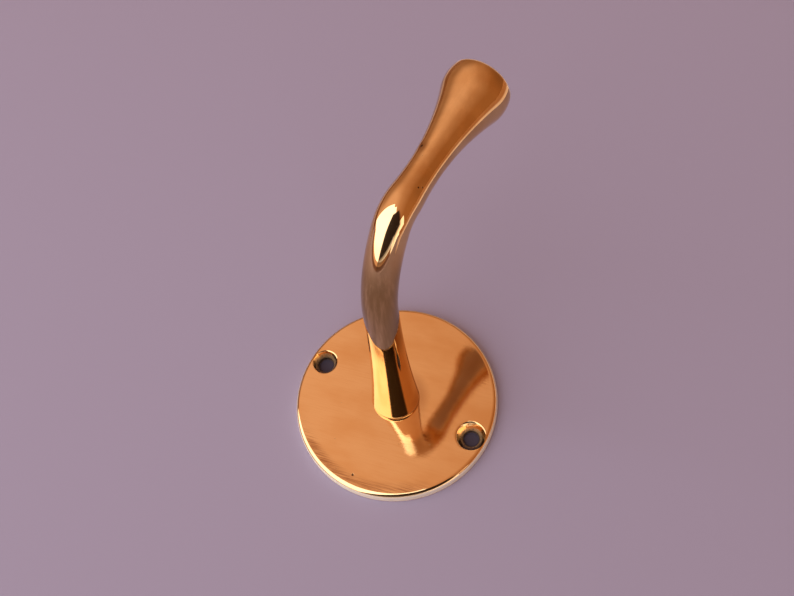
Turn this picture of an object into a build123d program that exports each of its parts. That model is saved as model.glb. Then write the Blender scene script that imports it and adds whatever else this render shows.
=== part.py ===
"""Cast brass wall hook: a round plate with two countersunk screw holes and one upturned arm.

Frame: the origin is the centre of the plate's back face, which lies on the wall in the plane y = 0.
+Y points into the wall, -Y into the room, +Z up the wall and X along it. All sizes are in mm.
"""
import os

from build123d import *

# Plate
PLATE_D = 65.0
PLATE_T = 4.0
FRONT_EDGE_R = 1.2      # buffed round

# Screw holes, one on each side of the arm
HOLE_SPACING = 54.6
HOLE_D = 5.0
SINK_DEPTH = 2.8
LEFT_SINK_D = 8.2
RIGHT_SINK_D = 9.4      # hand-sunk a little wider than the left one
LIP_R = 0.8             # buffed lip round each countersink

# Centreline of the arm, in the plane x = 0: stem, easy bend, tight knuckle, flare
STEM_LEAN = 3.3         # degrees that the stem rises from square to the plate
STEM_RUN = 53.5
BEND_R = 42.5
BEND_TURN = 38.5        # degrees
KNUCKLE_R = 8.5
FLARE_LEAN = 1.1        # degrees that the flare leans out from the wall
FLARE_RUN = 41.7

# Round sections of the arm
FOOT_D = 15.3           # the stem's widest, just above the plate
FOOT_RISE = 1.3
ROOT_D = 12.6           # tucked in below that, inside the plate
ROOT_DEPTH = 0.6
ARM_D = 9.8             # at the end of the stem's taper and round both bends
NECK_D = 9.5            # just past the knuckle, still narrowing
NECK_RUN = 3.0
SWELL_D = 17.1          # where the flare's hollow curve turns over into the lip
SWELL_RUN = 34.8
TIP_D = 17.6
TIP_DOME = 0.9          # height of the shallow dome on the arm's end
TIP_EDGE_R = 0.6

CUT_MARGIN = 1.0        # how far a cutter reaches past the face it cuts
MOUTH_SPREAD = 6.0      # and how far it spreads there, so that the lip runs out nearly level


def plate():
    """Flat disc turned about Y, with its front edge rounded."""
    edge = (PLATE_D / 2, -PLATE_T)
    with BuildSketch(Plane.XY) as section:
        Rectangle(PLATE_D / 2, PLATE_T, align=(Align.MIN, Align.MAX))
        fillet(section.vertices().sort_by_distance(edge)[0], FRONT_EDGE_R)
    return revolve(section.sketch, Axis.Y)


def screw_hole(x, sink_d):
    """Cutter for one hole: a through hole, a steep countersink and a soft lip at its mouth."""
    mouth = (sink_d / 2, -PLATE_T)
    outside = -PLATE_T - CUT_MARGIN
    with BuildSketch(Plane.XY) as section:
        with BuildLine():
            Polyline(
                (0, outside),
                (0, CUT_MARGIN),
                (HOLE_D / 2, CUT_MARGIN),
                (HOLE_D / 2, SINK_DEPTH - PLATE_T),
                mouth,
                (mouth[0] + MOUTH_SPREAD, outside),
                close=True,
            )
        make_face()
        fillet(section.vertices().sort_by_distance(mouth)[0], LIP_R)
    return Pos(X=x) * revolve(section.sketch, Axis.Y)


def arm_lines():
    """Four tangent lines of the arm's centreline, from the plate's face to the tip."""
    knuckle_turn = 90 - STEM_LEAN - BEND_TURN - FLARE_LEAN
    with BuildLine(Plane.YZ):
        stem = PolarLine((-PLATE_T, 0), STEM_RUN, 180 - STEM_LEAN)
        bend = JernArc(stem @ 1, stem % 1, BEND_R, -BEND_TURN)
        knuckle = JernArc(bend @ 1, bend % 1, KNUCKLE_R, -knuckle_turn)
        flare = Line(knuckle @ 1, knuckle @ 1 + (knuckle % 1) * FLARE_RUN)
    return stem, bend, knuckle, flare


def square_to(line):
    """Plane square to a line at its start, looking along it."""
    return Plane(line @ 0, x_dir=(1, 0, 0), z_dir=line % 0)


def tapered_stem():
    """Stem turned about Z: a hollow taper, straight at the far end, and a foot tucked in at the plate."""
    root = (ROOT_D / 2, -ROOT_DEPTH)
    with BuildSketch(Plane.XZ) as section:
        with BuildLine():
            taper = TangentArc((ARM_D / 2, STEM_RUN), (FOOT_D / 2, FOOT_RISE), tangent=(0, -1))
            TangentArc(taper @ 1, root, tangent=taper % 1)
            Polyline(root, (0, -ROOT_DEPTH), (0, STEM_RUN), taper @ 0)
        make_face()
    return revolve(section.sketch, Axis.Z)


def trumpet():
    """Flare turned about Z: a narrowing neck, a hollow flare, a lip that rolls in and a domed end."""
    corner = (TIP_D / 2, FLARE_RUN)
    with BuildSketch(Plane.XZ) as section:
        with BuildLine():
            neck = TangentArc((ARM_D / 2, 0), (NECK_D / 2, NECK_RUN), tangent=(0, 1))
            hollow = TangentArc(neck @ 1, (SWELL_D / 2, SWELL_RUN), tangent=neck % 1)
            TangentArc(hollow @ 1, corner, tangent=hollow % 1)
            dome = TangentArc((0, FLARE_RUN + TIP_DOME), corner, tangent=(1, 0))
            Polyline(dome @ 0, (0, 0), neck @ 0)
        make_face()
        fillet(section.vertices().sort_by_distance(corner)[0], TIP_EDGE_R)
    return revolve(section.sketch, Axis.Z)


def arm():
    """Stem and flare turned on straight axes, joined by a round bar bent twice."""
    stem, bend, knuckle, flare = arm_lines()
    bar = sweep(square_to(bend) * Circle(ARM_D / 2), path=Wire([bend, knuckle]))
    return square_to(stem) * tapered_stem() + bar + square_to(flare) * trumpet()


def main():
    os.makedirs("parts", exist_ok=True)
    body = plate()
    body -= screw_hole(-HOLE_SPACING / 2, LEFT_SINK_D)
    body -= screw_hole(HOLE_SPACING / 2, RIGHT_SINK_D)
    body += arm()
    export_step(body, "parts/hook.step")


main()
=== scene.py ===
"""Looks of the brass wall hook, in metres, in the part's own frame.

The plate's back lies on the wall plane y = 0, -Y is the room and +Z is up the wall. The stage is that
wall, which the camera looks down on as a floor. Sizes of the hook are in mm until its mesh is made.
"""
from math import atan2, cos, pi, radians, sin, tan

import bmesh
import bpy
from mathutils import Matrix, Vector


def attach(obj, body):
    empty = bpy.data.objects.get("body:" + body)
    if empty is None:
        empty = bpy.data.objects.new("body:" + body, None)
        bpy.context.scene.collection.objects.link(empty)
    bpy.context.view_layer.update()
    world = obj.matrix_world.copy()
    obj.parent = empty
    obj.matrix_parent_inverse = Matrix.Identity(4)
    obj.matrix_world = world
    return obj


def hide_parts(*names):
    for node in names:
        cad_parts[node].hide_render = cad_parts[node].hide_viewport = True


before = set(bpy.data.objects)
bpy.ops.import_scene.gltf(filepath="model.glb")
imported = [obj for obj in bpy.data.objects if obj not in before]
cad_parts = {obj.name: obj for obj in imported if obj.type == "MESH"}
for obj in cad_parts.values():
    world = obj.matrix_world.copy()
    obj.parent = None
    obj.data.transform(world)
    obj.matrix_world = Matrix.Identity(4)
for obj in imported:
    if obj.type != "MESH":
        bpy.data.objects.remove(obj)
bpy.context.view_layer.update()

MM = 0.001

# Plate, mm
PLATE_R = 32.5
PLATE_T = 4.0
FACE_DROP = 0.4         # the face is polished very slightly domed, and this much lower at its edge
EDGE_TOP = PLATE_T - FACE_DROP
FRONT_EDGE_R = 1.6      # buffed rounder than the solid's

# Screw holes, mm
HOLE_X = 27.3
HOLE_R = 2.5
SINK_DEPTH = 2.8
LEFT_SINK_R = 4.1
RIGHT_SINK_R = 4.7
LIP_R = 0.8
CUT_MARGIN = 1.0        # how far a cutter reaches past the face it cuts
MOUTH_SPREAD = 6.0      # and how far it spreads there

# Arm, mm and degrees
STEM_LEAN = 3.3
STEM_RUN = 53.5
BEND_R = 42.5
BEND_TURN = 38.5
KNUCKLE_R = 8.5
FLARE_LEAN = 1.1
FLARE_RUN = 41.7
KNUCKLE_TURN = 90 - STEM_LEAN - BEND_TURN - FLARE_LEAN
FOOT_R = 7.65
FOOT_RISE = 1.3
ROOT_R = 6.3
ROOT_DEPTH = 0.6
ARM_R = 4.9
NECK_R = 4.75
NECK_RUN = 3.0
SWELL_R = 8.55
SWELL_RUN = 34.8
TIP_R = 8.75            # a hair under the solid's, so that the finer mesh stays in its box
TIP_DOME = 0.89
TIP_EDGE_R = 0.6

# Fineness of the mesh: sides of each round, and steps along each curve
PLATE_SIDES = 256
HOLE_SIDES = 128
ARM_SIDES = 192
FACE_STEPS = 40
FRONT_EDGE_STEPS = 12
LIP_STEPS = 10
TAPER_STEPS = 60
TUCK_STEPS = 14
BEND_STEPS = 48
NECK_STEPS = 10
HOLLOW_STEPS = 44
ROLL_STEPS = 20
DOME_STEPS = 20
TIP_EDGE_STEPS = 8
SHARP_ANGLE = radians(24)

# Colours of the brass and of what lies on it
BRASS = (0.83, 0.55, 0.27, 1)
RED_BRASS = (0.76, 0.45, 0.19, 1)
# dull metal, which on the bend also carries painted shade
DULL_AND_SHADED_BRASS = (0.36, 0.21, 0.075, 1)
# pale bare metal, a painted highlight on the plate's side wall and the tip's edge
BARE_AND_SHEEN_BRASS = (0.98, 0.87, 0.66, 1)
# brown residue, also painted shade beside the foot and in the dent
RESIDUE_AND_SHADE_BROWN = (0.30, 0.12, 0.045, 1)
# grime, also painted shade in the foot's crevice and deep in the screw holes
GRIME_AND_SHADE = (0.030, 0.020, 0.014, 1)
PIT_BROWN = (0.09, 0.035, 0.012, 1)

# Noise in the brass: its scale along each axis, per mm, then its detail and roughness
STROKES = ((0.09, 0.3, 2.4), 5.0, 0.68)
PATCHES = ((0.05, 0.06, 0.12), 3.0, 0.5)
WAVES = ((0.11, 0.11, 0.11), 1.0, 0.5)
STREAKS = ((0.55, 0.03, 0.35), 3.0, 0.6)
GRIT = ((1.3, 1.3, 1.3), 2.0, 0.5)
STROKE_ANGLE = radians(-12.5)               # of the polishing strokes across the plate, from X

# Parts of the surface, mm. A pair of limits says where a part or a mark begins and where it is full.
FACE_HEIGHTS = (EDGE_TOP - 0.6, PLATE_T + 0.1)
FACE_SOFT = 0.2
# the side wall is painted paler as a painted highlight
WALL_HEIGHTS = (0.1, EDGE_TOP - 0.6)        # of the plate's bare side wall
WALL_SOFT = 0.1
WALL_RADIUS = (PLATE_R - 0.5, PLATE_R - 0.15)
BACK_HEIGHT = (0.1, 0.02)
# painted highlight round the tip's edge
TIP_SHEEN_TOP = (1.9, 1.2)                   # under the tip's crown
TIP_SHEEN_RADIUS = (TIP_R - 1.2, TIP_R - 0.7)
TIP_SHEEN = 0.8

# Casting pits and pores, mm
SPECK_CELL = 4.5                            # one place for a pore in each cell of this size
SPECK_R = 0.13
SPECK_CORE = 0.4                            # share of its radius in which it is full
SPECK_DEPTH = 0.05
SPECK_CHOICE = (0.72, 0.78)                 # cells with a number above this have a pore
PIT_CORE = 0.45
PITS = (                                    # centre, radius and depth of each pit
    ((1.08, -3.7, -28.24), 0.45, 0.25),
    ((2.93, -89.86, 23.74), 0.30, 0.03),
    ((3.52, -89.20, 24.56), 0.26, 0.03),
    ((-2.56, -90.26, 34.99), 0.55, 0.08),
)
DENT = (-2.56, -90.26, 34.99)               # on the flare
DENT_R = 2.6
DENT_DEPTH = 0.09
# painted shade in the dent's hollow
DENT_SHADE = 0.5

# Brown residue along the plate's lower edge, mm
RESIDUE_INSIDE = (27.2, 30.0)
RESIDUE_OUTSIDE = (31.3, 30.7)
RESIDUE_BELOW = (-18, -25)
RESIDUE_PATCHES = 0.6                       # weight of the patches against the strokes
RESIDUE_SMEARS = (0.62, 1.0)
RESIDUE_SHARE = 0.85

# Painted shade on the plate on one side of the foot, mm
SHADED_SIDE = (0.75, 0, 0.66)
SHADE_SIDE = (5.0, 8.5)
SHADE_RADIUS = (12.0, 7.5)
SHADE_SHARE = 0.4

# Dirt where the foot meets the plate and in the screw holes, with painted shade in that crevice and those
# recesses, mm
FOOT_LINE_Z = 0.35                          # its centre is a little above the plate's, as the stem leans
FOOT_LINE_RADII = (6.85, 7.35)
FOOT_LINE_SOFT = 0.2
FOOT_LINE_HEIGHTS = (PLATE_T - 0.2, PLATE_T + 0.2)
FOOT_LINE_FADE = 0.25
BORE_DIRT_AND_SHADE = (HOLE_R + 0.5, HOLE_R + 0.1)
RING_DIRT_AND_SHADE = (HOLE_R + 1.2, HOLE_R + 0.5)
SINK_OVER = 0.2                             # past the mouth's radius
SINK_UNDER = 0.3                            # inside it
SINK_HEIGHT = (EDGE_TOP + 0.05, EDGE_TOP - 0.25)
SINK_GRIT = (0.2, 0.6)
SINK_DIRT_AND_SHADE = 0.75

# Dull metal on the bend and the flare, with painted shade on the bend that darkens what it mirrors, mm
DULL_SHADED_BEND_HEIGHTS = (47, 71)
DULL_SHADED_BEND_SOFT = 12
DULL_SHADED_BEND_Z = (13, 9)
DULL_SHADED_BEND = 0.85
DULL_FLARE_Z = (17, 26)
DULL_FLARE_HEIGHT = (40, 60)
DULL_FLARE = 0.2
DULL_AND_SHADE_STREAKS = (0.15, 0.6)

# Redder places in the brass
RED_PATCHES = (0.35, 0.75)
RED_STROKES = (0.45, 0.75)
RED_STROKE_SHARE = 0.5

# Gloss of the brass, and its relief in mm
DIRT_AND_SHADE_OVER_METAL = 0.8
BARE_AND_SHEEN_OVER_METAL = 0.5
POLISH_ROUGH = 0.01
GRAIN_ROUGH = 0.04
STAIN_AND_SHADE_ROUGH = 0.22
SINK_ROUGH = 0.03
UNPOLISHED_ROUGH = 0.38
WAVE_RELIEF = 0.03
STROKE_RELIEF = 0.006
SINK_RELIEF = 0.02
BACK_RELIEF = 0.08

# Camera, from the photo's perspective
CAMERA_AT = Vector((0.07507, -0.25677, -0.07633))
CAMERA_AIM = Vector((-0.00836, -0.03, 0.02054))
CAMERA_ROLL = radians(32.7)
CAMERA_NEAR = 0.01
FRAME_WIDTH = 794
FOCAL_PIXELS = 850
SENSOR = 36.0

# Stage, in metres
STAGE_HALF = 3.0
STAGE_GAP = 0.0002      # between the plate's back and the stage
STAGE_THIN = 0.0007     # a ray no longer than this is between the two
STAGE_COLOUR = (0.31, 0.268, 0.35, 1)
# painted shade on the stage under the plate, seen through the screw holes
UNDER_PLATE_SHADE = (0.06, 0.05, 0.07, 1)
STAGE_SPECULAR = 0.1
MATTE = 0.9

# Soft window round the hook's lower side, in metres and in degrees from X towards Z
WINDOW_R = 0.9
WINDOW_SILL = 0.11
WINDOW_HEIGHT = 6.3
WINDOW_FROM = 193
WINDOW_TO = 321
WINDOW_PANELS = 8
WINDOW_RADIANCE = 2.3
DAYLIGHT = (0.76, 0.87, 1.0)

# Small low window on the hook's right, in metres and in degrees from X towards Z
LOW_WINDOW_R = 1.0
LOW_WINDOW_TURN = 338
LOW_WINDOW_WIDTH = 0.7
LOW_WINDOW_HEIGHT = 0.6
LOW_WINDOW_RADIANCE = 1.6
PLAIN_WHITE = (1, 1, 1)

# Dark card in front of the window, in metres: its distance, its direction and its outline (across, up)
FLAG_R = 0.7
FLAG_TURN = 306
FLAG_OUTLINE = (
    (-0.59, 0.05),
    (-0.47, 0.45),
    (-0.34, 1.0),
    (-0.2, 1.65),
    (0.57, 1.7),
    (0.57, 0.33),
    (0.24, 0.12),
)
FLAG_SOFT = 0.13        # share of its size over which it fades, each side of that outline
FLAG_COLOUR = (0.03, 0.025, 0.02, 1)

# Curved card beyond the hook, in metres and in degrees from X towards Z
SURROUND_R = 0.225
SURROUND_HEIGHT = 0.088
SURROUND_FROM = -15
SURROUND_TO = 195
SURROUND_STEPS = 60
SURROUND_FADE = (0.0455, 0.0245)            # heights between which its tan turns to cream
SURROUND_TAN = (0.50, 0.26, 0.12, 1)
SURROUND_CREAM = (0.95, 0.84, 0.76, 1)

# Warm background: its colour from the pale side to the dark one, and low behind the hook
DARK_SIDE = (0.8, 0.35, 0.5)
PALE_AT = 0.25
PALE_COLOUR = (0.91, 0.55, 0.39, 1)
MIDDLE_AT = 0.45
MIDDLE_COLOUR = (0.64, 0.334, 0.196, 1)
DARK_AT = 0.75
DARK_COLOUR = (0.42, 0.176, 0.068, 1)
LOW_SIDE = (-0.35, 0, 0.94)
LOW_TURN = (0.0, 0.6)
LOW_RISE = (0.8, 0.25)
LOW_SHARE = 0.75
LOW_COLOUR = (0.27, 0.12, 0.051, 1)


def tangent_arc(start, heading, end, steps):
    """Points after start on the arc that leaves start along heading to end, and its last heading."""
    chord = end - start
    half = atan2(heading.x * chord.y - heading.y * chord.x, heading.dot(chord))
    radius = chord.length / (2 * sin(half))
    left = Vector((-heading.y, heading.x))
    points = []
    for k in range(1, steps + 1):
        turn = 2 * half * k / steps
        points.append(start + radius * (sin(turn) * heading + (1 - cos(turn)) * left))
    return points, heading * cos(2 * half) + left * sin(2 * half)


def rounded(before, corner, after, radius, steps):
    """Points of the arc that rounds a corner between two straight lines."""
    back = (before - corner).normalized()
    ahead = (after - corner).normalized()
    reach = radius / tan(back.angle(ahead) / 2)
    start = corner + back * reach
    arc, _ = tangent_arc(start, -back, corner + ahead * reach, steps)
    return [start, *arc]


def loft_rings(name, rings, tip=None):
    """Mesh through rings of points, capped flat at the start and flat or in a point at the end."""
    bm = bmesh.new()
    rows = [[bm.verts.new(point * MM) for point in ring] for ring in rings]
    sides = len(rows[0])
    for row, following in zip(rows, rows[1:]):
        for k in range(sides):
            after = (k + 1) % sides
            bm.faces.new((row[k], row[after], following[after], following[k]))
    bm.faces.new(rows[0])
    if tip is None:
        bm.faces.new(rows[-1])
    else:
        apex = bm.verts.new(tip * MM)
        for k in range(sides):
            bm.faces.new((rows[-1][k], rows[-1][(k + 1) % sides], apex))
    bmesh.ops.recalc_face_normals(bm, faces=bm.faces)
    mesh = bpy.data.meshes.new(name)
    bm.to_mesh(mesh)
    bm.free()
    piece = bpy.data.objects.new(name, mesh)
    bpy.context.scene.collection.objects.link(piece)
    return piece


def turned(name, profile, sides, x=0.0):
    """Lathe a profile of (radius, y) about the line parallel to Y through x."""
    angles = [2 * pi * k / sides for k in range(sides)]
    rings = [[Vector((x + r * cos(a), y, r * sin(a))) for a in angles] for r, y in profile]
    return loft_rings(name, rings)


def plate_profile():
    """Half section of the plate from the back face's edge to near the middle of the front face."""
    back = Vector((PLATE_R, 0))
    rim = Vector((PLATE_R, -EDGE_TOP))
    face, _ = tangent_arc(Vector((0, -PLATE_T)), Vector((1, 0)), rim, FACE_STEPS)
    edge = rounded(back, rim, face[-2], FRONT_EDGE_R, FRONT_EDGE_STEPS)
    inner = [point for point in face if point.x < PLATE_R - FRONT_EDGE_R]
    return [back, *edge, *reversed(inner)]


def hole_profile(sink_r):
    """Half section of a screw hole's cutter, from behind the plate to in front of it."""
    level = FACE_DROP * (HOLE_X / PLATE_R) ** 2 - PLATE_T
    waist = Vector((HOLE_R, SINK_DEPTH + level))
    mouth = Vector((sink_r, level))
    outside = Vector((sink_r + MOUTH_SPREAD, level - CUT_MARGIN))
    lip = rounded(waist, mouth, outside, LIP_R, LIP_STEPS)
    return [Vector((HOLE_R, CUT_MARGIN)), waist, *lip, outside]


def along_arm(distance):
    """Point on the arm's centreline, distance mm from the plate, and its rise from square to the wall."""
    point = Vector((0, -PLATE_T, 0))
    rise = radians(STEM_LEAN)
    for run, radius, turn in ((STEM_RUN, BEND_R, BEND_TURN), (0.0, KNUCKLE_R, KNUCKLE_TURN)):
        step = min(distance, run)
        point = point + step * Vector((0, -cos(rise), sin(rise)))
        bend = min((distance - step) / radius, radians(turn))
        point = point + radius * Vector((0, sin(rise) - sin(rise + bend), cos(rise) - cos(rise + bend)))
        rise += bend
        distance -= step + bend * radius
    return point + distance * Vector((0, -cos(rise), sin(rise))), rise


def arm_profile():
    """(radius, distance along the centreline) from the root in the plate to the tip, and its crown."""
    stem_end = Vector((ARM_R, STEM_RUN))
    foot = Vector((FOOT_R, FOOT_RISE))
    root = Vector((ROOT_R, -ROOT_DEPTH))
    taper, heading = tangent_arc(stem_end, Vector((0, -1)), foot, TAPER_STEPS)
    tuck, _ = tangent_arc(taper[-1], heading, root, TUCK_STEPS)
    points = [*reversed(tuck), *reversed(taper), stem_end]
    for radius, turn in ((BEND_R, BEND_TURN), (KNUCKLE_R, KNUCKLE_TURN)):
        start = points[-1].y
        run = radians(turn) * radius
        points += [Vector((ARM_R, start + run * k / BEND_STEPS)) for k in range(1, BEND_STEPS + 1)]
    knuckle_end = points[-1].y
    neck_end = Vector((NECK_R, knuckle_end + NECK_RUN))
    swell = Vector((SWELL_R, knuckle_end + SWELL_RUN))
    corner = Vector((TIP_R, knuckle_end + FLARE_RUN))
    crown = Vector((0, corner.y + TIP_DOME))
    neck, heading = tangent_arc(points[-1], Vector((0, 1)), neck_end, NECK_STEPS)
    hollow, heading = tangent_arc(neck[-1], heading, swell, HOLLOW_STEPS)
    roll, _ = tangent_arc(hollow[-1], heading, corner, ROLL_STEPS)
    dome, _ = tangent_arc(crown, Vector((1, 0)), corner, DOME_STEPS)
    edge = rounded(roll[-2], corner, dome[-2], TIP_EDGE_R, TIP_EDGE_STEPS)
    roll = [point for point in roll if (point - corner).length > TIP_EDGE_R]
    dome = [point for point in dome if (point - corner).length > TIP_EDGE_R]
    return [*points, *neck, *hollow, *roll, *edge, *reversed(dome)], crown


def arm_mesh():
    """The arm as rings square to its centreline."""
    profile, crown = arm_profile()
    angles = [2 * pi * k / ARM_SIDES for k in range(ARM_SIDES)]
    rings = []
    for radius, distance in profile:
        centre, rise = along_arm(distance)
        up = Vector((0, sin(rise), cos(rise)))
        rings.append([centre + radius * (cos(a) * Vector((1, 0, 0)) + sin(a) * up) for a in angles])
    tip, _ = along_arm(crown.y)
    return loft_rings("arm", rings, tip)


def combine(piece, tool, operation):
    """Cut tool from piece, or join it on, and drop the tool."""
    change = piece.modifiers.new(operation, "BOOLEAN")
    change.operation = operation
    change.solver = "EXACT"
    change.object = tool
    depsgraph = bpy.context.evaluated_depsgraph_get()
    result = bpy.data.meshes.new_from_object(piece.evaluated_get(depsgraph))
    piece.modifiers.clear()
    piece.data = result
    bpy.data.objects.remove(tool)


def hook_mesh():
    """Plate with its screw holes and the arm, as one closed mesh with smooth shading."""
    hook = turned("brass_hook", plate_profile(), PLATE_SIDES)
    combine(hook, turned("left_hole", hole_profile(LEFT_SINK_R), HOLE_SIDES, -HOLE_X), "DIFFERENCE")
    combine(hook, turned("right_hole", hole_profile(RIGHT_SINK_R), HOLE_SIDES, HOLE_X), "DIFFERENCE")
    combine(hook, arm_mesh(), "UNION")
    hook.data.name = "brass_hook"
    hook.data.shade_smooth()
    hook.data.set_sharp_from_angle(angle=SHARP_ANGLE)
    even = hook.modifiers.new("even_normals", "WEIGHTED_NORMAL")
    even.keep_sharp = True
    return hook


class Graph:
    """Short ways to add nodes to a tree. A value is a number, a tuple or another node's output."""

    def __init__(self, tree):
        self.tree = tree

    def put(self, socket, value):
        """Link an output to a socket, or set the socket to a constant."""
        if isinstance(value, bpy.types.NodeSocket):
            self.tree.links.new(value, socket)
        else:
            socket.default_value = value

    def add(self, kind, inputs=(), **settings):
        """New node with the inputs and settings given."""
        node = self.tree.nodes.new(kind)
        for key, value in settings.items():
            setattr(node, key, value)
        for key, value in inputs:
            self.put(node.inputs[key], value)
        return node

    def math(self, operation, *values):
        """Result of one operation on numbers."""
        return self.add("ShaderNodeMath", enumerate(values), operation=operation).outputs[0]

    def vector(self, operation, *values):
        """Result of one operation on vectors, which is a number for a length or a product."""
        node = self.add("ShaderNodeVectorMath", enumerate(values), operation=operation)
        return node.outputs["Value" if operation in ("LENGTH", "DISTANCE", "DOT_PRODUCT") else "Vector"]

    def step(self, value, low, high):
        """0 at low and 1 at high, smooth between."""
        inputs = (("Value", value), ("From Min", low), ("From Max", high))
        return self.add("ShaderNodeMapRange", inputs, interpolation_type="SMOOTHSTEP").outputs[0]

    def band(self, value, low, high, soft):
        """1 between low and high, fading over soft outside them."""
        rise = self.step(value, low - soft, low)
        fall = self.step(value, high + soft, high)
        return self.math("MULTIPLY", rise, fall)

    def noise(self, place, scale, detail, roughness):
        """Cloudy noise with a scale for each axis."""
        scaled = self.vector("MULTIPLY", place, scale)
        inputs = (("Vector", scaled), ("Scale", 1.0), ("Detail", detail), ("Roughness", roughness))
        return self.add("ShaderNodeTexNoise", inputs).outputs["Fac"]

    def mix(self, factor, first, second):
        """Colour that goes from first to second."""
        node = self.add("ShaderNodeMix", data_type="RGBA")
        self.put(node.inputs["Factor"], factor)
        self.put(node.inputs[6], first)
        self.put(node.inputs[7], second)
        return node.outputs[2]

    def most(self, *masks):
        """Largest of several masks."""
        result = masks[0]
        for mask in masks[1:]:
            result = self.math("MAXIMUM", result, mask)
        return result

    def times(self, *masks):
        """Product of several masks."""
        result = masks[0]
        for mask in masks[1:]:
            result = self.math("MULTIPLY", result, mask)
        return result

    def more(self, mask, amount, value):
        """Value with an amount added where the mask is 1."""
        return self.math("MULTIPLY_ADD", mask, amount, value)

    def near_axis(self, place, x, z):
        """Distance from the line parallel to Y through x and z."""
        offset = self.vector("SUBTRACT", place, (x, 0, z))
        return self.vector("LENGTH", self.vector("MULTIPLY", offset, (1, 0, 1)))


def new_material(name):
    """New material with its node graph and its shader."""
    material = bpy.data.materials.new(name)
    material.use_nodes = True
    return material, Graph(material.node_tree), material.node_tree.nodes["Principled BSDF"]


def specks(graph, place):
    """Small dark pores, in about a quarter of the cells that the surface is divided into."""
    scaled = graph.vector("MULTIPLY", place, (1 / SPECK_CELL,) * 3)
    cells = graph.add("ShaderNodeTexVoronoi", (("Vector", scaled), ("Scale", 1.0)))
    number = graph.add("ShaderNodeSeparateColor", ((0, cells.outputs["Color"]),)).outputs[0]
    reach = SPECK_R / SPECK_CELL
    spot = graph.step(cells.outputs["Distance"], reach, SPECK_CORE * reach)
    return graph.times(spot, graph.step(number, *SPECK_CHOICE))


def pit_marks(graph, place):
    """Masks of the pits and of the dent on the flare, and the depth of both in mm."""
    pits = specks(graph, place)
    depths = graph.math("MULTIPLY", pits, SPECK_DEPTH)
    for centre, radius, depth in PITS:
        mark = graph.step(graph.vector("DISTANCE", place, centre), radius, PIT_CORE * radius)
        pits = graph.most(pits, mark)
        depths = graph.most(depths, graph.math("MULTIPLY", mark, depth))
    dent = graph.step(graph.vector("DISTANCE", place, DENT), DENT_R, 0.0)
    depths = graph.most(depths, graph.math("MULTIPLY", dent, DENT_DEPTH))
    return pits, dent, depths


def dirt_and_shade_marks(graph, place, height, grit):
    """Masks of the grime and painted shade round the foot and in the screw holes, and of the
    countersinks.
    """
    foot = graph.near_axis(place, 0, FOOT_LINE_Z)
    # dark line round the foot: grime, with painted shade in that crevice
    foot_line = graph.times(
        graph.band(foot, *FOOT_LINE_RADII, FOOT_LINE_SOFT),
        graph.band(height, *FOOT_LINE_HEIGHTS, FOOT_LINE_FADE),
    )
    # bores and countersinks: grime, with painted shade in those recesses
    bores = []
    rings = []
    sinks = []
    for x, sink_r in ((-HOLE_X, LEFT_SINK_R), (HOLE_X, RIGHT_SINK_R)):
        gap = graph.near_axis(place, x, 0)
        bores.append(graph.step(gap, *BORE_DIRT_AND_SHADE))
        rings.append(graph.step(gap, *RING_DIRT_AND_SHADE))
        sinks.append(graph.step(gap, sink_r + SINK_OVER, sink_r - SINK_UNDER))
    in_sinks = graph.times(graph.most(*sinks), graph.step(height, *SINK_HEIGHT))
    # grime and painted shade deep in the countersinks
    sink_dirt_and_shade = graph.times(in_sinks, graph.most(*rings), graph.step(grit, *SINK_GRIT), SINK_DIRT_AND_SHADE)
    return graph.most(foot_line, graph.most(*bores), sink_dirt_and_shade), in_sinks


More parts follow.
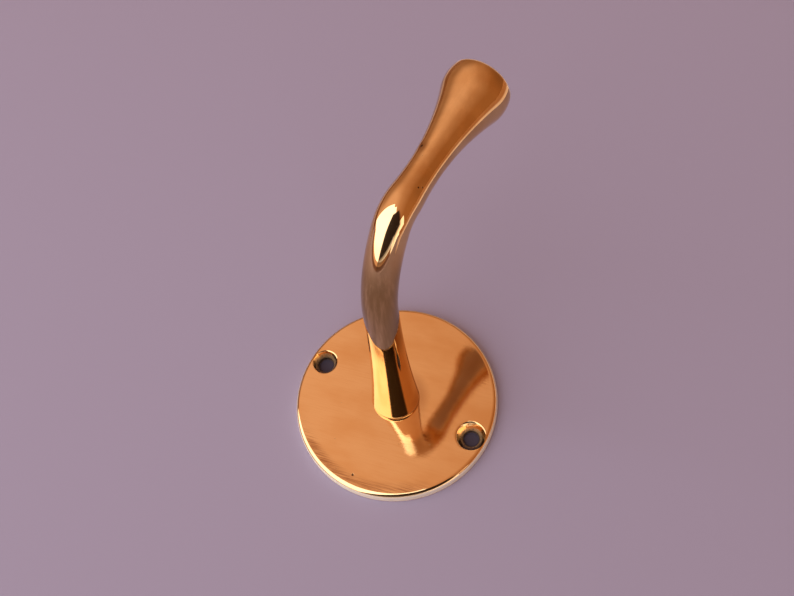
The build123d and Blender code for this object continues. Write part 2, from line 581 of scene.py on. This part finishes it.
def brass_material():
    """Polished brass with polishing strokes, casting pits, duller places and grime in its corners, with
    painted shade on the bend, by the foot, in the dent and in the holes, and painted highlights on the
    plate's side wall and the tip's edge.
    """
    material, graph, shader = new_material("polished_brass")
    coords = graph.add("ShaderNodeTexCoord").outputs["Object"]
    place = graph.vector("MULTIPLY", coords, (1 / MM,) * 3)
    split = graph.add("ShaderNodeSeparateXYZ", ((0, place),))
    z = split.outputs["Z"]
    height = graph.math("MULTIPLY", split.outputs["Y"], -1.0)
    across = graph.near_axis(place, 0, 0)

    spin = (("Vector", place), ("Axis", (0, 1, 0)), ("Angle", -STROKE_ANGLE))
    along = graph.add("ShaderNodeVectorRotate", spin).outputs[0]
    strokes = graph.noise(along, *STROKES)
    patches = graph.noise(along, *PATCHES)
    waves = graph.noise(place, *WAVES)
    streaks = graph.noise(place, *STREAKS)
    grit = graph.noise(place, *GRIT)

    on_plate = graph.band(height, *FACE_HEIGHTS, FACE_SOFT)
    wall = graph.times(graph.step(across, *WALL_RADIUS), graph.band(height, *WALL_HEIGHTS, WALL_SOFT))
    back = graph.step(height, *BACK_HEIGHT)
    crown, _ = along_arm(arm_profile()[1].y)
    sheen_from, sheen_to = TIP_SHEEN_TOP
    tip_edge = graph.times(
        graph.step(z, crown.z - sheen_from, crown.z - sheen_to),
        graph.step(graph.vector("DISTANCE", place, crown), *TIP_SHEEN_RADIUS),
        TIP_SHEEN,
    )
    # pale bare metal, a painted highlight on the side wall and round the tip's edge
    bare_and_sheen = graph.most(wall, tip_edge)

    pits, dent, depths = pit_marks(graph, place)
    # grime, with painted shade in the foot's crevice and deep in the screw holes
    dirt_and_shade, in_sinks = dirt_and_shade_marks(graph, place, height, grit)
    low_edge = graph.times(
        graph.step(across, *RESIDUE_INSIDE),
        graph.step(across, *RESIDUE_OUTSIDE),
        graph.step(z, *RESIDUE_BELOW),
    )
    smears = graph.step(graph.more(patches, RESIDUE_PATCHES, strokes), *RESIDUE_SMEARS)
    residue = graph.times(low_edge, smears, on_plate, RESIDUE_SHARE)
    # painted shade on the plate beside the foot
    side = graph.step(graph.vector("DOT_PRODUCT", place, SHADED_SIDE), *SHADE_SIDE)
    shade = graph.times(graph.step(across, *SHADE_RADIUS), side, on_plate, SHADE_SHARE)
    # residue, and painted shade beside the foot and in the dent
    stain_and_shade = graph.most(residue, shade, graph.times(dent, DENT_SHADE))

    # dull metal on the bend, with painted shade darkening what it mirrors
    dull_shaded_bend = graph.times(
        graph.band(height, *DULL_SHADED_BEND_HEIGHTS, DULL_SHADED_BEND_SOFT),
        graph.step(z, *DULL_SHADED_BEND_Z),
        DULL_SHADED_BEND,
    )
    dull_flare = graph.times(
        graph.step(z, *DULL_FLARE_Z),
        graph.step(height, *DULL_FLARE_HEIGHT),
        DULL_FLARE,
    )
    dull_and_shade = graph.times(graph.most(dull_shaded_bend, dull_flare), graph.step(streaks, *DULL_AND_SHADE_STREAKS))

    colour = graph.mix(graph.step(patches, *RED_PATCHES), BRASS, RED_BRASS)
    worn = graph.times(graph.step(strokes, *RED_STROKES), on_plate, RED_STROKE_SHARE)
    colour = graph.mix(worn, colour, RED_BRASS)
    colour = graph.mix(dull_and_shade, colour, DULL_AND_SHADED_BRASS)
    colour = graph.mix(bare_and_sheen, colour, BARE_AND_SHEEN_BRASS)
    colour = graph.mix(stain_and_shade, colour, RESIDUE_AND_SHADE_BROWN)
    colour = graph.mix(pits, colour, PIT_BROWN)
    colour = graph.mix(dirt_and_shade, colour, GRIME_AND_SHADE)
    graph.put(shader.inputs["Base Color"], colour)

    less_metal = graph.most(graph.times(dirt_and_shade, DIRT_AND_SHADE_OVER_METAL), graph.times(bare_and_sheen, BARE_AND_SHEEN_OVER_METAL))
    graph.put(shader.inputs["Metallic"], graph.math("SUBTRACT", 1.0, less_metal))

    grain = graph.more(graph.math("SUBTRACT", strokes, streaks), on_plate, streaks)
    rough = graph.more(grain, GRAIN_ROUGH, POLISH_ROUGH)
    rough = graph.more(stain_and_shade, STAIN_AND_SHADE_ROUGH, rough)
    rough = graph.more(in_sinks, SINK_ROUGH, rough)
    rough = graph.more(graph.most(dirt_and_shade, bare_and_sheen, back), UNPOLISHED_ROUGH, rough)
    graph.put(shader.inputs["Roughness"], rough)

    relief = graph.times(waves, WAVE_RELIEF)
    relief = graph.more(graph.times(strokes, on_plate), STROKE_RELIEF, relief)
    relief = graph.more(graph.times(grit, in_sinks), SINK_RELIEF, relief)
    relief = graph.more(graph.times(grit, back), BACK_RELIEF, relief)
    relief = graph.math("SUBTRACT", relief, depths)
    bump = graph.add("ShaderNodeBump", (("Height", relief), ("Distance", MM)))
    graph.put(shader.inputs["Normal"], bump.outputs[0])
    return material


def stage_material():
    """Matte pale wall with painted shade under the plate, and clear from behind and right against the
    plate.
    """
    material, graph, shader = new_material("pale_stage")
    geometry = graph.add("ShaderNodeNewGeometry")
    across = graph.near_axis(geometry.outputs["Position"], 0, 0)
    # painted shade under the plate
    under = graph.step(across, PLATE_R * MM, (PLATE_R - 1) * MM)
    graph.put(shader.inputs["Base Color"], graph.mix(under, STAGE_COLOUR, UNDER_PLATE_SHADE))
    shader.inputs["Roughness"].default_value = MATTE
    shader.inputs["Specular IOR Level"].default_value = STAGE_SPECULAR
    path = graph.add("ShaderNodeLightPath")
    near = graph.math("LESS_THAN", path.outputs["Ray Length"], STAGE_THIN)
    unseen = graph.math("MAXIMUM", geometry.outputs["Backfacing"], near)
    clear = graph.add("ShaderNodeBsdfTransparent").outputs[0]
    layers = ((0, unseen), (1, shader.outputs[0]), (2, clear))
    surface = graph.add("ShaderNodeMixShader", layers).outputs[0]
    graph.put(material.node_tree.nodes["Material Output"].inputs["Surface"], surface)
    return material


def stage_piece(name, corners, faces, material):
    """Thin piece of the stage."""
    mesh = bpy.data.meshes.new(name)
    mesh.from_pydata(corners, [], faces)
    mesh.materials.append(material)
    piece = bpy.data.objects.new(name, mesh)
    bpy.context.scene.collection.objects.link(piece)
    return piece


def stage():
    """Large square behind the plate that faces the room."""
    half = STAGE_HALF
    y = STAGE_GAP
    corners = [(-half, y, -half), (half, y, -half), (half, y, half), (-half, y, half)]
    stage_piece("stage_wall", corners, [(0, 1, 2, 3)], stage_material())


def outwards(degrees):
    """Direction along the wall, in degrees from X towards Z."""
    return Vector((cos(radians(degrees)), 0, sin(radians(degrees))))


def flag():
    """Dark card on the camera's side, soft at its edge, which gives the metal its dark streaks."""
    away = outwards(FLAG_TURN)
    side = outwards(FLAG_TURN + 90)
    outline = [away * FLAG_R + side * across - Vector((0, up, 0)) for across, up in FLAG_OUTLINE]
    count = len(outline)
    middle = sum(outline, Vector()) / count
    inner = [middle + (corner - middle) * (1 - FLAG_SOFT) for corner in outline]
    outer = [middle + (corner - middle) * (1 + FLAG_SOFT) for corner in outline]
    faces = [list(range(count))]
    for k in range(count):
        after = (k + 1) % count
        faces.append([k, after, count + after, count + k])
    material, graph, shader = new_material("dark_flag")
    shader.inputs["Base Color"].default_value = FLAG_COLOUR
    shader.inputs["Roughness"].default_value = MATTE
    cover = graph.add("ShaderNodeAttribute", attribute_name="cover").outputs["Fac"]
    graph.put(shader.inputs["Alpha"], cover)
    card = stage_piece("stage_flag", inner + outer, faces, material)
    values = card.data.attributes.new("cover", "FLOAT", "POINT").data
    for k in range(count):
        values[k].value = 1.0
    card.visible_camera = False
    card.visible_shadow = False


def surround():
    """Low curved card beyond the hook that only the metal shows, cream at its foot and tan above."""
    turn = (SURROUND_TO - SURROUND_FROM) / SURROUND_STEPS
    corners = []
    for k in range(SURROUND_STEPS + 1):
        foot = outwards(SURROUND_FROM + turn * k) * SURROUND_R
        corners += [foot, foot - Vector((0, SURROUND_HEIGHT, 0))]
    faces = [(2 * k, 2 * k + 1, 2 * k + 3, 2 * k + 2) for k in range(SURROUND_STEPS)]
    material, graph, shader = new_material("warm_card")
    position = graph.add("ShaderNodeNewGeometry").outputs["Position"]
    height = graph.vector("DOT_PRODUCT", position, (0, -1, 0))
    low = graph.step(height, *SURROUND_FADE)
    graph.put(shader.inputs["Base Color"], graph.mix(low, SURROUND_TAN, SURROUND_CREAM))
    shader.inputs["Roughness"].default_value = MATTE
    card = stage_piece("stage_surround", corners, faces, material)
    card.visible_camera = False
    card.visible_diffuse = False
    card.visible_shadow = False


def softbox(name, centre, away, width, height, radiance, colour):
    """Upright rectangular lamp of an even radiance, which shines against away."""
    data = bpy.data.lights.new(name, "AREA")
    data.shape = "RECTANGLE"
    data.size = width
    data.size_y = height
    data.energy = radiance * pi * width * height
    data.color = colour
    lamp = bpy.data.objects.new(name, data)
    upward = Vector((0, -1, 0))
    turn = Matrix((upward.cross(away), upward, away)).transposed()
    lamp.matrix_world = Matrix.Translation(centre) @ turn.to_4x4()
    lamp.visible_camera = False
    bpy.context.scene.collection.objects.link(lamp)
    return lamp


def world_light():
    """Warm surroundings, paler on one side and dark low behind the hook."""
    world = bpy.data.worlds.new("studio")
    world.use_nodes = True
    graph = Graph(world.node_tree)
    towards = graph.add("ShaderNodeTexCoord").outputs["Generated"]
    rise = graph.vector("DOT_PRODUCT", towards, (0, -1, 0))
    turn = graph.vector("DOT_PRODUCT", towards, DARK_SIDE)
    shade = graph.add("ShaderNodeValToRGB")
    ramp = shade.color_ramp
    ramp.elements[0].position = PALE_AT
    ramp.elements[0].color = PALE_COLOUR
    ramp.elements[1].position = DARK_AT
    ramp.elements[1].color = DARK_COLOUR
    ramp.elements.new(MIDDLE_AT).color = MIDDLE_COLOUR
    spread = graph.add("ShaderNodeMapRange", (("Value", turn), ("From Min", -1.0)))
    graph.put(shade.inputs["Fac"], spread.outputs[0])
    behind = graph.step(graph.vector("DOT_PRODUCT", towards, LOW_SIDE), *LOW_TURN)
    low = graph.times(graph.step(rise, *LOW_RISE), behind, LOW_SHARE)
    colour = graph.mix(low, shade.outputs["Color"], LOW_COLOUR)
    graph.put(world.node_tree.nodes["Background"].inputs["Color"], colour)
    bpy.context.scene.world = world


def lights():
    """Background, tall window in panels round the hook, and the low window that only the metal shows."""
    world_light()
    turn = (WINDOW_TO - WINDOW_FROM) / WINDOW_PANELS
    width = 2 * WINDOW_R * tan(radians(turn / 2))
    rise = Vector((0, WINDOW_SILL + WINDOW_HEIGHT / 2, 0))
    for k in range(WINDOW_PANELS):
        away = outwards(WINDOW_FROM + turn * (k + 0.5))
        centre = away * WINDOW_R - rise
        softbox(f"window_{k + 1}", centre, away, width, WINDOW_HEIGHT, WINDOW_RADIANCE, DAYLIGHT)
    away = outwards(LOW_WINDOW_TURN)
    centre = away * LOW_WINDOW_R - Vector((0, LOW_WINDOW_HEIGHT / 2, 0))
    low = softbox("low_window", centre, away, LOW_WINDOW_WIDTH, LOW_WINDOW_HEIGHT,
                  LOW_WINDOW_RADIANCE, PLAIN_WHITE)
    low.visible_diffuse = False


def camera():
    """Camera at the photo's viewpoint, with its tilt about the view axis."""
    data = bpy.data.cameras.new("camera")
    data.sensor_width = SENSOR
    data.lens = FOCAL_PIXELS / FRAME_WIDTH * SENSOR
    data.clip_start = CAMERA_NEAR
    view = bpy.data.objects.new("camera", data)
    upright = (CAMERA_AIM - CAMERA_AT).to_track_quat("-Z", "Y").to_matrix().to_4x4()
    roll = Matrix.Rotation(CAMERA_ROLL, 4, "Z")
    view.matrix_world = Matrix.Translation(CAMERA_AT) @ upright @ roll
    bpy.context.scene.collection.objects.link(view)
    bpy.context.scene.camera = view


hook = hook_mesh()
hook.data.materials.clear()
hook.data.materials.append(brass_material())
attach(hook, "root")
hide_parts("hook")
stage()
flag()
surround()
lights()
camera()
bpy.context.scene.view_settings.view_transform = "Standard"
